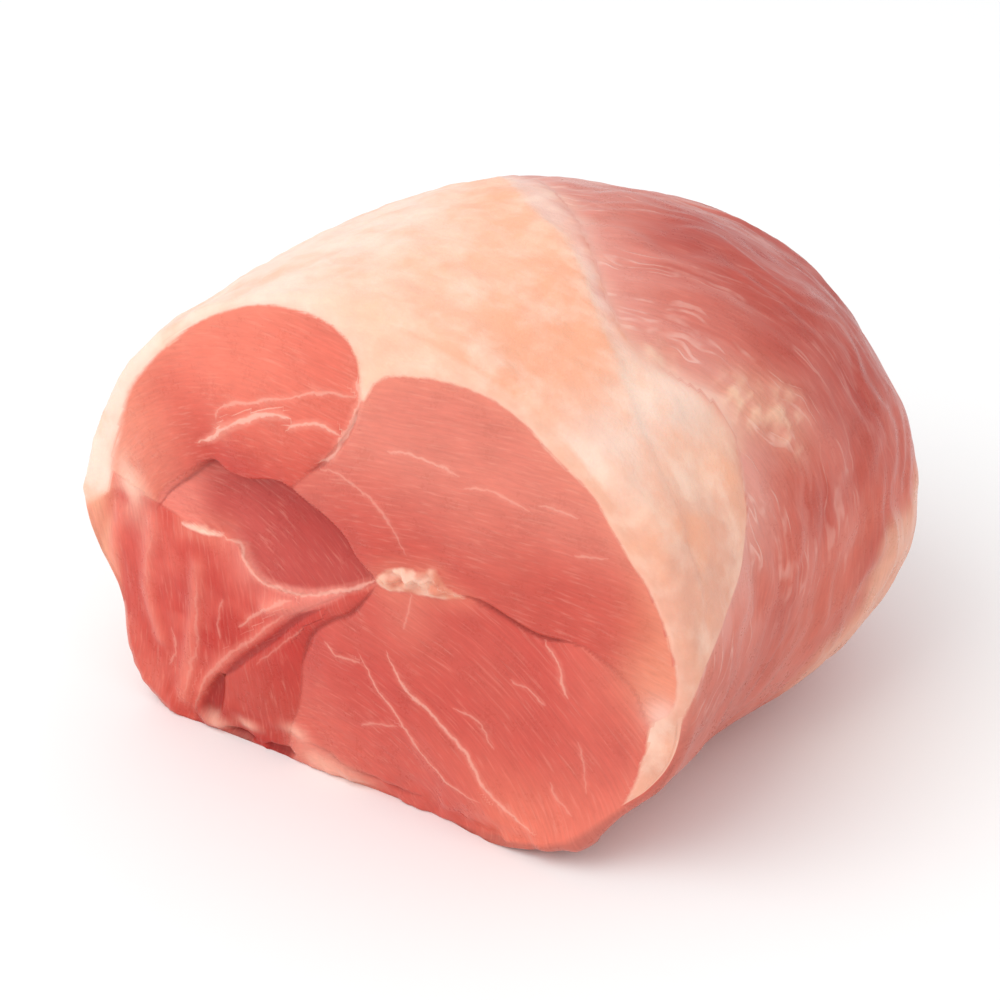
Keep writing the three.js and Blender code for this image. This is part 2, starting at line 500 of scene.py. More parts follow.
# Outlines of the muscles in front numbers. Where one runs past the rim it goes down the side.
TOP_LOBE = (
    *LEFT_RIM, (2, 131), (0, 122), (-5, 114), (-12, 105), (-20, 97), *LIP[::-1], (-80, 77),
)
ROUND_MUSCLE = (
    (2, 128), (5, 133), (10, 137), *RIGHT_RIM, (99.5, 64), (97, 57), (91, 55), (87, 63), (79, 70),
    (71, 73), (62, 72), (54, 74), (46, 77), (36, 79), (28, 84), (19, 83), (9, 77), (2, 81),
    (-4, 88), (-12, 93), (-19, 96), (-12, 104), (-5, 113), (0, 121),
)
SUNKEN_MUSCLE = (
    *LIP, (-16, 94), (-4, 88), (2, 81), (8, 76), (4, 72), (-3, 68), (-13, 64), (-20, 61),
    *LEFT_TOP[::-1],
)
LEFT_MUSCLE = (
    (-71, 75), *LEFT_TOP, (-13, 64), *FLAP_TOP, (-80, -20), (-104, 0), (-106, 30), (-110, 45),
    (-104, 60), (-90, 73), (-82, 78),
)
FLAP = (*FLAP_RIGHT, (-28, -10), *FLAP_TOP[:0:-1], (-3, 67))
BOTTOM_MUSCLE = (
    (9, 74), (15, 75), (25, 76), (36, 78), (48, 76), (58, 72), (71, 73), (79, 69), (87, 63),
    (91, 54), (92, 44), (90, 34), (87, 25), (83, 17), (80, 6), (76, -12), (40, -25), (-28, -22),
    *FLAP_RIGHT[:0:-1],
)
ALL_FLESH = (
    (-90, 73), *LEFT_RIM, (2.5, 129), (6, 134), (11, 137.5), *RIGHT_RIM, (99.3, 65), (97.5, 59),
    (94, 55.5), (91.8, 51), (91, 44), (88.5, 34), (85.5, 25), (82, 17), (79, 6), (77, -12),
    (50, -30), (-70, -30), (-106, -12), (-112, 20), (-112, 45), (-105, 60), (-96, 67),
)
FAT_KNOB = (
    (9, 76), (12, 80), (16, 82), (22, 83), (28, 85), (31, 81), (37, 78), (28, 76.3), (20, 75.2),
    (13, 74),
)
FAT_SLIP = ((-61, 71.2), (-56, 72.5), (-50, 72.6), (-45, 72.6), (-50, 71.0), (-56, 70.3))
CAVITY = ((-59, 6), (-57, 13), (-53, 19.5), (-49, 22), (-49.5, 14), (-51, 6), (-55, 3))

LIP_CREASE = (
    (-70, 74), (-66.6, 79.2), (-58.2, 87), (-49, 94.8), (-43, 93), (-35, 93), (-25, 95.8),
    (-16.5, 92.8), (-5, 87), (1, 80.3), (6, 76.5),
)
LOBE_CREASE = ((1, 124), (-2, 117), (-5, 112), (-9, 107), (-14, 103))
FLAP_CREASE = ((8, 73), (4, 67), (-1, 61), (-7, 57), (-14, 50), (-19, 38))
LONG_CREASE = ((36, 79), (42, 78.5), (48, 76), (54, 73.5), (60, 72), (68, 73))

# White lines: half width in millimetres, strength, the shares kept at the two ends, points.
WHITE_LINES = (
    (0.6, 1.15, (0.3, 0.5), ((-52, 101), (-47, 104), (-43, 108), (-35, 113), (-25, 118), (-20, 118))),
    (0.5, 1.0, (0.6, 0.2), ((-19, 115), (-16, 117), (-10, 119), (-4, 117))),
    (0.42, 0.6, (0.0, 0.4), ((-46, 109), (-45, 113), (-41, 116), (-33, 119), (-20, 124),
                             (-10, 128.5), (0, 129))),
    (0.6, 0.85, (0.9, 0.2), ((1, 133), (1.5, 127), (-1, 120), (-4, 115), (-6, 110), (-10, 107))),
    (0.42, 0.8, (0.4, 0.6), ((-44, 72), (-39, 71), (-36, 66), (-32, 62), (-26, 61), (-17, 62), (-8, 66),
                             (2, 71), (8, 75))),
    (0.5, 0.55, (0.0, 0.0), ((-20, 60), (-28, 55), (-35, 49), (-41, 43))),
    (0.3, 0.3, (0.2, 0.0), ((-17, 51), (-24, 44), (-30, 37), (-36, 31))),
    (0.3, 0.4, (0.1, 0.0), ((-11, 105), (-3, 105.5), (5, 103), (12, 99), (17, 92), (19, 86))),
    (0.34, 0.6, (0.0, 0.0), ((12, 117), (18, 118.5), (27, 118), (36, 116))),
    (0.3, 0.5, (0.0, 0.0), ((36, 113), (43, 114), (50, 113), (57, 110.5))),
    (0.28, 0.5, (0.0, 0.0), ((58, 113), (64, 113), (70, 111.5))),
    (0.26, 0.5, (0.0, 0.0), ((69, 101), (74, 101.5), (79, 102))),
    (0.42, 0.75, (0.0, 0.5), ((12, 56), (17, 48), (24, 42), (32, 36), (39, 30), (45, 22), (52, 16),
                              (60, 11))),
    (0.34, 0.65, (0.1, 0.0), ((3, 51), (8, 43), (15, 35.5), (23, 26), (34, 17.5), (46, 15.5))),
    (0.3, 0.5, (0.0, 0.0), ((-10, 50), (-6, 47), (-1, 47), (4, 47))),
    (0.26, 0.45, (0.0, 0.0), ((2, 25), (9, 28.5), (17, 30))),
    (0.28, 0.5, (0.0, 0.0), ((34, 43), (42, 41), (48, 33))),
    (0.26, 0.45, (0.0, 0.0), ((51, 57), (57, 56), (63, 52))),
    (0.36, 0.65, (0.5, 0.0), ((62, 70), (65.5, 66), (67, 61), (69.5, 56))),
    (0.26, 0.4, (0.0, 0.0), ((72, 44), (74, 35), (74.5, 25))),
    (0.26, 0.4, (0.0, 0.0), ((64, 28), (68, 22), (72, 18))),
    (0.22, 0.35, (0.4, 0.0), ((20, 75), (20, 70), (18, 63))),
    (0.4, 0.3, (0.0, 0.0), ((-54, 58), (-55, 48), (-55.5, 40), (-57, 30), (-61, 20), (-64, 10))),
    (0.25, 0.2, (0.0, 0.0), ((-70, 66), (-74, 56), (-75, 44))),
    (0.5, 0.4, (0.0, 0.2), ((-23, 54), (-30, 46.6), (-40, 36.6), (-50.5, 25.6), (-57.5, 15), (-61, 6))),
    (0.35, 0.4, (0.0, 0.0), ((-67, 34), (-66, 26), (-70, 18))),
    (0.3, 0.35, (0.0, 0.0), ((-45, 52), (-48, 44), (-48, 36))),
)
# Dark lines where one muscle turns under another, given the same way: grooves with painted shade
# in them. The lower ones lie in a set of their own, because they come too close to the others.
DARK_LINES = (
    (0.55, 0.5, (0.1, 0.0), LIP_CREASE),
    (0.7, 0.5, (0.2, 0.1), LOBE_CREASE),
    (0.7, 0.6, (0.2, 0.0), LONG_CREASE),
    (1.0, 0.7, (0.2, 0.3), ((-12, 58.6), (-20, 52.6), (-29, 42.5), (-39, 32.6), (-49, 21.6))),
    (0.8, 0.45, (0.0, 0.1), FLAP_CREASE),
)
LOWER_DARK_LINES = (
    (0.55, 0.5, (0.1, 0.0), LIP_CREASE),
    (1.5, 0.9, (0.2, 0.2), ((-50, 2.2), (-44, 1.2), (-40, 1.8))),
    (1.6, 0.9, (0.2, 0.2), ((-35, 1.5), (-29, 1.4), (-24, 3))),
    (0.6, 0.5, (0.0, 0.0), ((-18, 9.5), (-12, 9), (-4, 6.5), (6, 6), (12, 4.5), (22, 6))),
)

# Soft folds of the left muscle.
FOLDS = (
    ((-54, 60), (-56, 48), (-58, 36), (-62, 20), (-65, 9)),
    ((-10, 60), (-20, 57), (-30, 54)),
    ((-16, 56), (-27, 47), (-38, 36), (-48, 26), (-57, 13)),
    ((-71, 68), (-74, 54), (-75, 42), (-72, 28)),
    ((-85, 66), (-90, 50), (-91, 36)),
)

# ------------------------------------------------------------ fat and muscle of the sides (side)


def side_points(*points):
    """Side points given in degrees and millimetres, as the millimetres the side curves use."""
    return tuple((math.radians(turn) * SIDE_RADIUS, run) for turn, run in points)


FAT_SHEET = side_points(
    (-14, -20), (-12, -4), (-5, 1), (0, 5), (4, 14), (8, 25), (12, 34), (18, 42), (25, 48),
    (31, 52), (37, 51), (42, 47), (47, 44), (53, 44), (59, 50), (66, 60), (75, 74), (86, 88),
    (100, 103), (117, 116), (136, 122), (156, 118), (174, 104), (187, 82), (195, 54), (199, 26),
    (200, 4), (198, -20), (150, -50), (90, -50), (20, -50),
)
CAP_EDGE = side_points(
    (104, 98), (94, 84), (84, 72), (76, 66), (68, 56), (62, 47), (56, 39), (48, 31), (42, 24),
    (36, 19.5), (30, 16.5), (24, 15),
)
FAR_PATCH = side_points(
    (4, 138), (1, 118), (-2, 104), (-8, 95), (-16, 86), (-24, 80), (-32, 86), (-30, 108), (-16, 132),
)
NODULES = side_points((33, 64), (30, 68), (25, 71), (36, 60), (29, 74), (48, 47), (33, 59))

# The middle and the lean in degrees of the shells the outer muscle's strands lie in.
SHELL_CENTRE = (78.0, -9.0, 81.0)
SHELL_LEAN = 16.0

# ---------------------------------------------------------------------- relief and colours

MUSCLES = ("top", "round", "sunken", "left", "flap", "bottom")
# The middle of the arcs each muscle's fibres follow.
FIBRE_CENTRES = {
    "top": (-28.0, 40.0),
    "round": (40.0, -120.0),
    "sunken": (-60.0, 10.0),
    "left": (-190.0, 40.0),
    "flap": (-130.0, 10.0),
    "bottom": (-10.0, -20.0),
}
FRONT_REACH = 34  # millimetres past the rim in which the cut face's outlines still matter
FRONT_OUTSIDE = -40.0  # the depth kept for points nowhere near an outline
SIDE_OUTSIDE = -60.0
NO_LINE = 90.0  # the distance kept for points nowhere near a line
SEAM_BLEND = 0.5  # millimetres over which the colours of two muscles blend
# How far the middle of a muscle stands out from its edges, and over what distance.
PILLOWS = (
    ("top", 2.6, 9.0),
    ("round", 2.8, 12.0),
    ("left", 1.8, 8.0),
    ("flap", 1.6, 6.0),
    ("bottom", 3.0, 12.0),
)
# Colours of 0 to 255 a channel.
OUTER_RED = (207, 104, 88)
OUTER_DEEP = (182, 74, 64)
FAT_CREAM = (250, 218, 200)
FAT_PEACH = (249, 199, 172)
# Lower colour, upper colour, and the heights between which one turns into the other.
MUSCLE_SHADES = {
    "left": ((214, 91, 77), (216, 92, 80), 10, 60),
    "flap": ((187, 58, 51), (196, 66, 58), 10, 50),
    "bottom": ((211, 96, 84), (202, 82, 73), 10, 50),
    "round": ((204, 85, 74), (221, 127, 111), 84, 118),
    "top": ((203, 73, 63), (237, 127, 107), 94, 130),
    "sunken": ((208, 95, 87), (190, 77, 71), 66, 92),
}
# Paler places of the cut face: place, size and how much.
PALE_SPOTS = (
    (48, 94, 14, 0.1),
    (-44, 107, 3, 0.5),
    (20, 68, 9, 0.25),
    (-60, 92, 12, 0.15),
)
# Small tags of fat along the lower edge of the cut face: place, size and height.
TAGS = (
    (-53, 3.5, 2.6, 1.5),
    (-23, 11, 2.4, 1.0),
    (-14, 4, 4.5, 1.6),
    (-4, 2.5, 4.0, 1.4),
    (-41, 7, 2.0, 0.6),
)
# Lengthwise bands of the fat: turn in degrees, width, how much, colour.
FAT_BANDS = (
    (86, 10, 0.173, (250, 186, 156)),
    (65, 10, 0.019, (250, 184, 154)),
    (41, 8, 0.593, (252, 228, 214)),
)


def srgb(red, green, blue):
    """A display colour of 0 to 255 a channel, as linear light."""
    c = np.array([red, green, blue]) / 255
    return np.where(c <= 0.04045, c / 12.92, ((c + 0.055) / 1.055) ** 2.4)


def paint(colour, layers):
    """The colours with shades laid over them one after another, each as far as its mask says."""
    for mask, shade in layers:
        colour = colour + (srgb(*shade) - colour) * np.clip(mask, 0, 1)[:, None]
    return np.clip(colour, 0, 1)


def opaque(red, green, blue):
    """A display colour as a material's socket takes it."""
    return (*srgb(red, green, blue), 1)


class Meat:
    """Everything that lies on the sheet: how far the surface rises, and what it is coloured by.

    The numbers written in it are places and widths. With x and z they are millimetres of the cut
    face, with degrees they are turns around the leg, and with run they are millimetres back from
    the rim. Each noise has its own size in millimetres and its own seed."""

    def __init__(self, sheet):
        self.sheet = sheet
        front, wall = sheet.front, ~sheet.on_face
        self.wall = wall
        self.degrees = np.degrees(sheet.side[:, 0] / SIDE_RADIUS)
        near_front = sheet.on_face | (sheet.run < FRONT_REACH)
        outlines = {
            "top": TOP_LOBE,
            "round": ROUND_MUSCLE,
            "sunken": SUNKEN_MUSCLE,
            "left": LEFT_MUSCLE,
            "flap": FLAP,
            "bottom": BOTTOM_MUSCLE,
            "flesh": ALL_FLESH,
            "knob": FAT_KNOB,
            "slip": FAT_SLIP,
            "cavity": CAVITY,
        }
        inside = {
            name: self.depth(front, outline, near_front, FRONT_OUTSIDE)
            for name, outline in outlines.items()
        }
        self.inside = inside
        left = smooth(sheet.side[:, 0], 150, 190) * smooth(sheet.run, 4, 30)
        ragged = 9 * noise(sheet.place, 30, 71, 3) - 3
        self.fat_side = self.depth(sheet.side, FAT_SHEET, wall, SIDE_OUTSIDE)
        self.fat_side = self.fat_side + np.where(wall, left * ragged, 0)
        self.far_patch = self.depth(sheet.side, FAR_PATCH, wall, SIDE_OUTSIDE)
        self.far_patch = self.far_patch + 7 * noise(sheet.place, 18, 72, 3)
        self.cap_gap, self.cap_side = self.signed(sheet.side, CAP_EDGE, wall)
        self.white = Lines(front, WHITE_LINES)
        self.dark = Lines(front, DARK_LINES)
        self.low_dark = Lines(front, LOWER_DARK_LINES)
        flesh = np.where(wall, np.maximum(inside["flesh"], -self.fat_side), inside["flesh"])
        self.flesh = np.minimum(flesh, -np.maximum(inside["knob"], inside["slip"]))
        folded = inside["left"] > -3
        self.fold_gap = np.full(len(front), NO_LINE)
        for points in FOLDS:
            gap = nearest(front[folded], curve(points))[0]
            self.fold_gap[folded] = np.minimum(self.fold_gap[folded], gap)
        past_rim = np.clip(sheet.run - 5, 0, 60)
        standing = {name: inside[name] - past_rim for name in MUSCLES}
        standing["outer"] = np.where(wall, np.minimum(sheet.run - 9, -self.fat_side), -50.0)
        best = np.max(list(standing.values()), axis=0)
        self.owned = {name: depth >= best for name, depth in standing.items()}
        self.share = {name: np.exp((depth - best) / SEAM_BLEND) for name, depth in standing.items()}

    @staticmethod
    def depth(at, outline, where, outside):
        """Distance inside an outline for the points where it matters, and the one given elsewhere."""
        depth = np.full(len(at), outside)
        depth[where] = inside_by(at[where], outline)
        return depth

    @staticmethod
    def signed(at, points, where):
        """Distance to an open line and the side of it, for the points where it matters."""
        gap, side = np.full(len(at), NO_LINE), np.ones(len(at))
        gap[where], side[where] = nearest(at[where], curve(points))[:2]
        return gap, side

    def flow(self):
        """Numbers along and across the strands of the outer muscle, which lie in shells around a
        point high on the right: the distance from it, and the way round it times that distance."""
        away = self.sheet.place - np.array(SHELL_CENTRE)
        lean = math.radians(SHELL_LEAN)
        up = np.array([-math.sin(lean), 0.0, math.cos(lean)])
        distance = np.linalg.norm(away, axis=1)
        return np.arctan2(away @ up, away[:, 1]) * distance, distance

    def grain(self):
        """Millimetres along and across the fibres of each muscle and the folds of the fat, and how
        streaky a muscle is or how much blush the fat takes."""
        x, z = self.sheet.front.T
        along_fibre, across_fibre = self.flow()
        for name, (cx, cz) in FIBRE_CENTRES.items():
            mask = self.owned[name]
            radius = np.hypot(x - cx, z - cz)
            mean = radius[mask].mean() if mask.any() else 1.0
            turn = np.arctan2(z - cz, x - cx)
            along_fibre = np.where(mask, turn * mean, along_fibre)
            across_fibre = np.where(mask, radius + 7.0 * len(name), across_fibre)
        in_fat = np.where(self.wall, self.fat_side > 0, self.inside["flesh"] < 0)
        along_fibre = np.where(in_fat, self.sheet.side[:, 0], along_fibre)
        across_fibre = np.where(in_fat, self.sheet.side[:, 1] - self.sheet.to_rim, across_fibre)
        # Fat near the rim on top takes less blush: partly its own paler colour, partly a painted
        # highlight.
        pale_rim_and_highlight = smooth(self.degrees, 20, 45) * smooth(self.degrees, 140, 105)
        pale_rim_and_highlight = smooth(self.sheet.run, 22, 6) * pale_rim_and_highlight
        streaky = np.where(in_fat, 1 - 0.85 * pale_rim_and_highlight, np.where(self.wall, 0.5, 0.8))
        return np.column_stack([along_fibre, across_fibre, streaky])

    def rise(self):
        """How far each point stands out from the plain body, in millimetres."""
        sheet, inside, wall, flesh = self.sheet, self.inside, self.wall, self.flesh
        x, z = sheet.front.T
        place = sheet.place
        h = 1.1 * noise(place, 38, 11) + 0.5 * noise(place, 16, 12) + 0.16 * noise(place, 6, 13)
        level = np.where(sheet.on_face, smooth(sheet.to_rim, 0, 12), 0)
        h = h - 1.8 * level
        pillow = 0
        for name, height, reach in PILLOWS:
            pillow = pillow + height * (1 - np.exp(-np.clip(inside[name], 0, 99) / reach))
        joint = hump(np.hypot((x + 83) / 1.5, z - 77.5), 7)
        h = h + level * (pillow + (1.3 - pillow) * joint)
        h = h + level * 1.1 * hump(self.fold_gap, 2.8) * smooth(inside["left"], 0, 3)
        sunken = smooth(inside["sunken"], -0.5, 2.4)
        lower = np.clip((z - 60 - 0.16 * (x + 30)) / 26, 0, 1)
        h = h - sunken * (0.9 + 4.4 * lower * smooth(x, -68, -38))
        knob = smooth(inside["knob"], -1, 2)
        h = h + knob * (1.0 + 1.9 * noise(place, 3.2, 51, 2)) + 0.5 * smooth(inside["slip"], -0.6, 1)
        h = h - 2.4 * smooth(inside["cavity"], -0.6, 2)
        h = h + 3.2 * hump(np.hypot(x - 76, z - 5), 11) - 1.6 * hump(np.hypot(x - 48, z - 2), 10)
        low_edge = smooth(z, 16, 4) * (sheet.run < 14)
        h = h + low_edge * (1.7 * noise(place, 11, 61) + 0.8 * noise(place, 5, 62))
        for cx, cz, size, amount in TAGS:
            h = h + amount * hump(np.hypot((x - cx) / 2, z - cz), size)
        h = h + self.white.shown(0.35, 0.5) - self.dark.shown(1.5, 0.8) - self.low_dark.shown(1.8, 0.8)
        cap = np.where(wall, smooth(self.cap_gap * self.cap_side, -3, 1.5), 0)
        cap = (1.3 - 0.7 * smooth(sheet.side[:, 0], 105, 135)) * cap * smooth(self.fat_side, -2, 8)
        h = h + cap * np.exp(-np.clip(self.cap_gap, 0, 60) / 22)
        h = h + np.where(wall, smooth(self.fat_side, -1.2, 1.6) - 0.7, 0) * smooth(sheet.run, 0, 10)
        h = h + smooth(self.far_patch, -6, 10)
        outer = np.where(wall, smooth(-self.fat_side, 0, 10), 0) * smooth(sheet.run, 2, 14)
        along_flow, across_flow = self.flow()
        across_flow = across_flow + 8 * noise(place, 22, 24)
        strands = flat_noise(np.column_stack([along_flow * 0.22, across_flow]), 9, 21, 2)
        fine = flat_noise(np.column_stack([along_flow * 0.16, across_flow]), 3.6, 22, 2)
        h = h + outer * (1.1 * strands + 0.34 * fine)
        along_fibre, across_fibre = self.grain()[:, :2].T
        fibres = flat_noise(np.column_stack([along_fibre * 0.12, across_fibre]), 2.4, 23, 2)
        h = h + (1 - outer) * 0.13 * fibres * smooth(flesh, 0, 3)
        fat = smooth(-flesh, 0, 4)
        h = h + fat * (0.8 * noise(place, 13, 31) + 0.3 * noise(place, 5, 32))
        crumbs = noise(place, 4, 53)
        for gap in self.nodule_gaps():
            h = h + np.where(wall, 0.4 * hump(gap, 3.5) + 0.7 * hump(gap, 6) * crumbs, 0)
        return h

    def nodule_gaps(self):
        """The distances of all points from each nodule."""
        across, back = self.sheet.side.T
        return [np.hypot(across - turn, back - run) for turn, run in NODULES]

    def shaped(self, relief):
        """The points moved out along the plain body's normals, kept on or above the table."""
        place = self.sheet.place
        normal = self.sheet.normals(place)
        h = self.rise() * relief
        over_table = 1 - smooth(-normal[:, 2], 0.3, 0.8) * smooth(place[:, 2], 6, 0)
        moved = place + normal * (h * over_table)[:, None]
        moved[:, 2] = np.maximum(moved[:, 2], 0)
        return moved

    def colours(self):
        """The muscle colour and the fat colour of every point, as linear light."""
        height = self.sheet.front[:, 1] + 5 * noise(self.sheet.place, 25, 41)
        total = self.share["outer"]
        muscle = total[:, None] * srgb(*OUTER_RED)
        for name, (low, high, bottom, top) in MUSCLE_SHADES.items():
            blend = smooth(height, bottom, top)[:, None]
            share = self.share[name]
            muscle = muscle + share[:, None] * (srgb(*low) * (1 - blend) + srgb(*high) * blend)
            total = total + share
        muscle = muscle / total[:, None]
        fat = np.tile(srgb(*FAT_CREAM), (len(muscle), 1))
        return paint(muscle, self.cut_layers() + self.outer_layers()), paint(fat, self.fat_layers())

    def cut_layers(self):
        """The shades laid over the muscles of the cut face, each with how much of it there is."""
        inside, owned = self.inside, self.owned
        x, z = self.sheet.front.T
        place = self.sheet.place

        def spot(cx, cz, size, wide=1.0, tall=1.0):
            return hump(np.hypot((x - cx) / wide, (z - cz) / tall), size)

        # Painted shadow: darker red along the top of the sunken muscle, under the lip of the lobe above
        # it.
        lip_shadow = hump(inside["sunken"], 2.2) * smooth(z, 76, 88) * (inside["sunken"] > 0)
        grey = smooth(noise(place, 30, 42), -0.2, 0.7)
        right_edge = smooth(x, 78, 98) * smooth(z, 40, 62) * smooth(z, 112, 92) * (inside["flesh"] > 0)
        left_edge = smooth(-x, 84, 94) * smooth(z, 26, 46) * smooth(z, 84, 70)
        low_left = smooth(-x, 88, 102) * smooth(z, 52, 34) * (inside["left"] > -2)
        lobe_left = smooth(-x, 50, 82) * smooth(z, 122, 98) * owned["top"]
        low_right = smooth(x, 30, 60) * smooth(z, 40, 10) * (inside["bottom"] > -2)
        corner = hump(np.hypot(x + 81 + 0.3 * (z - 76), (z - 76) / 1.7), 6.5)
        corner = corner * smooth(noise(place, 7, 45, 3), -1.1, 0.1)
        near_fat = hump(self.flesh, 4.0) * (self.flesh > 0)
        veil = smooth(inside["left"], -2, 0) * hump(inside["left"], 9) * (z < 72)
        veil = veil * smooth(x, -50, -34) * smooth(z, 46, 58)
        folded = smooth(inside["left"], 0, 2) * owned["left"] * smooth(-x, 6, 22)
        patch = smooth(noise(place, 13, 44, 2), -0.1, 0.7) * owned["left"]
        return [
            (0.6 * lip_shadow, (170, 66, 62)),
            (0.2 * grey, (232, 132, 112)),
            (0.75 * right_edge, (232, 145, 115)),
            (0.95 * left_edge, (248, 178, 144)),
            (0.5 * low_left, (243, 142, 118)),
            (0.6 * lobe_left, (248, 158, 130)),
            (0.7 * low_right, (243, 134, 110)),
            (0.9 * corner, (252, 202, 180)),
            *((amount * spot(*where), (238, 152, 130)) for *where, amount in PALE_SPOTS),
            (0.3 * near_fat, (240, 150, 125)),
            # Painted shade: dark red in the lower creases and the gaps along the bottom edge.
            (self.low_dark.shown(0.85, 0.8), (150, 44, 42)),
            (0.5 * smooth(x, -34, -6) * owned["top"], (222, 106, 90)),
            (0.55 * smooth(x, -46, -16) * owned["sunken"], (174, 58, 53)),
            # Painted light: the left tip of the sunken muscle made paler, as if lit.
            (0.8 * smooth(-x, 48, 62) * owned["sunken"], (242, 138, 122)),
            (0.5 * smooth(x, 52, 80) * owned["bottom"], (228, 118, 102)),
            # Painted shade: a deep red patch where the left muscle folds low on the cut face.
            (0.85 * spot(-50, 44, 12, tall=1.3), (186, 46, 40)),
            (0.5 * spot(93, 67, 10, wide=1.2), (240, 156, 128)),
            (0.85 * spot(96, 57, 6, wide=0.9), (249, 200, 184)),
            # Painted shade: dark red inside the hollow between the left muscle and the flap.
            (0.8 * smooth(inside["cavity"], -0.8, 2), (158, 42, 38)),
            (0.6 * veil, (238, 150, 136)),
            # Painted shade beside each fold of the left muscle, and a painted highlight along its crest.
            (0.4 * hump(self.fold_gap - 6, 3) * folded, (194, 54, 47)),
            (0.5 * hump(self.fold_gap, 2.2) * folded, (240, 138, 120)),
            (0.35 * patch, (232, 118, 102)),
            *((0.7 * spot(*where, wide=2), (250, 190, 168)) for *where, height in TAGS),
        ]

    def outer_layers(self):
        """The shades laid over the outer muscle, each with how much of it there is."""
        degrees, run, wall = self.degrees, self.sheet.run, self.wall
        place = self.sheet.place
        outer = wall & (self.fat_side < 0)
        tone = smooth(noise(place, 26, 43), -0.5, 0.6)
        crest = smooth(degrees, 62, 76) * smooth(degrees, 120, 100)
        pale = (0.15 + 0.6 * smooth(degrees, -4, 18)) * hump(self.fat_side, 13 + 9 * crest)
        high = smooth(degrees, 32, 50) * smooth(run, 112, 78)
        far = smooth(run, 68, 96) * smooth(degrees, 8, 28) * (1 - 0.6 * crest)
        corner = smooth(degrees, 2, -10) * smooth(run, 34, 8)
        low = smooth(degrees, 10, -15) * smooth(degrees, -75, -40)
        layers = [
            (0.7 * tone * outer, OUTER_DEEP),
            (pale * outer, (232, 168, 154)),
            (0.5 * high * outer, (226, 142, 128)),
            (0.75 * far * outer, (178, 74, 66)),
            (0.7 * corner * outer, (178, 86, 76)),
            (0.45 * low * outer, (214, 128, 112)),
            (0.85 * smooth(self.far_patch, -6, 9), (236, 176, 150)),
        ]
        crumbs = smooth(noise(place, 4, 53), -0.15, 0.45) * wall
        for gap in self.nodule_gaps():
            layers.append((0.35 * hump(gap, 8) * wall, (232, 168, 144)))
            layers.append((0.8 * hump(gap, 4.6) * crumbs, (245, 202, 174)))
        return layers

    def fat_layers(self):
        """The shades laid over the cream of the fat, each with how much of it there is."""
        degrees, inside, wall = self.degrees, self.inside, self.wall
        left_of_cap = wall & (self.cap_side > 0)
        membrane = smooth(-self.cap_side * self.cap_gap, -1, 3) * smooth(degrees, 20, 34) * wall
        thin_edge = hump(self.fat_side, 7) * smooth(degrees, 120, 150) * wall
        knob = smooth(inside["knob"], -3, 0)
        crumbs = smooth(noise(self.sheet.place, 4, 52), -0.3, 0.4)
        return [
            (smooth(degrees, 112, 84), FAT_PEACH),
            (0.7 * smooth(degrees, 60, 30), (244, 196, 174)),
            (0.8 * hump(self.cap_gap - 6, 10) * left_of_cap, (249, 184, 150)),
            (smooth(degrees, 78, 50), (238, 184, 158)),
            (smooth(degrees, 42, 15), (231, 170, 146)),
            (0.8 * hump(degrees - 57, 22) * left_of_cap, (243, 170, 137)),
            (0.7 * membrane * smooth(degrees, 44, 62), (226, 190, 184)),
            (0.55 * membrane * smooth(degrees, 62, 44), (240, 190, 165)),
            (0.6 * thin_edge, (240, 172, 152)),
            *(
                (amount * hump(degrees - turn, size) * wall, shade)
                for turn, size, amount, shade in FAT_BANDS
            ),
            (0.4 * smooth(self.flesh, -2.2, -0.1), (248, 184, 162)),
            (knob, (222, 132, 108)),
            (knob * crumbs, (244, 188, 164)),
            (smooth(inside["slip"], -2, 0), (246, 186, 168)),
        ]

    def cover(self):
        """Distance into the muscle, how much silverskin lies on it, and how softly it begins."""
        degrees, run, wall = self.degrees, self.sheet.run, self.wall
        silver = np.where(wall & (self.fat_side < 0), 0.42 + 0.58 * hump(self.fat_side, 20), 0)
        silver = silver * smooth(run, 0, 10) * (1 - 0.7 * smooth(degrees, 4, -12))
        silver = silver * (1 - 0.5 * smooth(run, 80, 110) * smooth(degrees, 60, 40))
        upper = smooth(degrees, 20, 34) * smooth(degrees, 120, 96) * smooth(run, 12, 30)
        back = (0.5 + 2.5 * smooth(degrees, 125, 160)) * smooth(run, 8, 24)
        softness = 0.65 + 1.3 * smooth(-self.sheet.front[:, 0], 66, 88)
        softness = softness + np.where(wall, 5.5 * upper + back, 0)
        return np.column_stack([self.flesh, silver, softness])


# Where the layout's parts lie on the unit square.
BORDER = 0.02
LAYOUT_WIDTH = 0.96
LAYOUT_HEIGHT = 0.46
UPPER_HALF = 0.52


def flat_layout(sheet):
    """The map every point is unrolled on: the cut face above, the sides as a band below it, cut
    open where the rings begin. Given for each corner of each face."""
    start = spread_angle(-np.pi / 4)
    turn = ((sheet.angle - start + 1e-6) % (2 * np.pi)) / (2 * np.pi)
    run = sheet.run / sheet.run.max()
    x, z = sheet.place[:, 0], sheet.place[:, 2]
    across = BORDER + LAYOUT_WIDTH * (x - x.min()) / np.ptp(x)
    face = np.stack([across, UPPER_HALF + LAYOUT_HEIGHT * z / z.max()], 1)
    result = []
    for faces, front_faces in ((sheet.quads, FACE_SIDE**2), (sheet.triangles, 0)):
        u = turn[faces]
        tip = faces == len(turn) - 1
        other = np.where(tip, np.nan, u)
        wraps = (np.nanmax(other, 1) - np.nanmin(other, 1) > 0.5)[:, None]
        u = np.where(wraps & (u < 0.5), u + 1, u)
        other = np.where(tip, np.nan, u)
        u = np.where(tip, np.nanmean(other, 1)[:, None], u)
        back = BORDER + LAYOUT_HEIGHT * (1 - run[faces])
        band = np.stack([BORDER + LAYOUT_WIDTH * u, back], -1)
        band[:front_faces] = face[faces[:front_faces]]
        result.append(band.reshape(-1, 2))
    return np.concatenate(result)


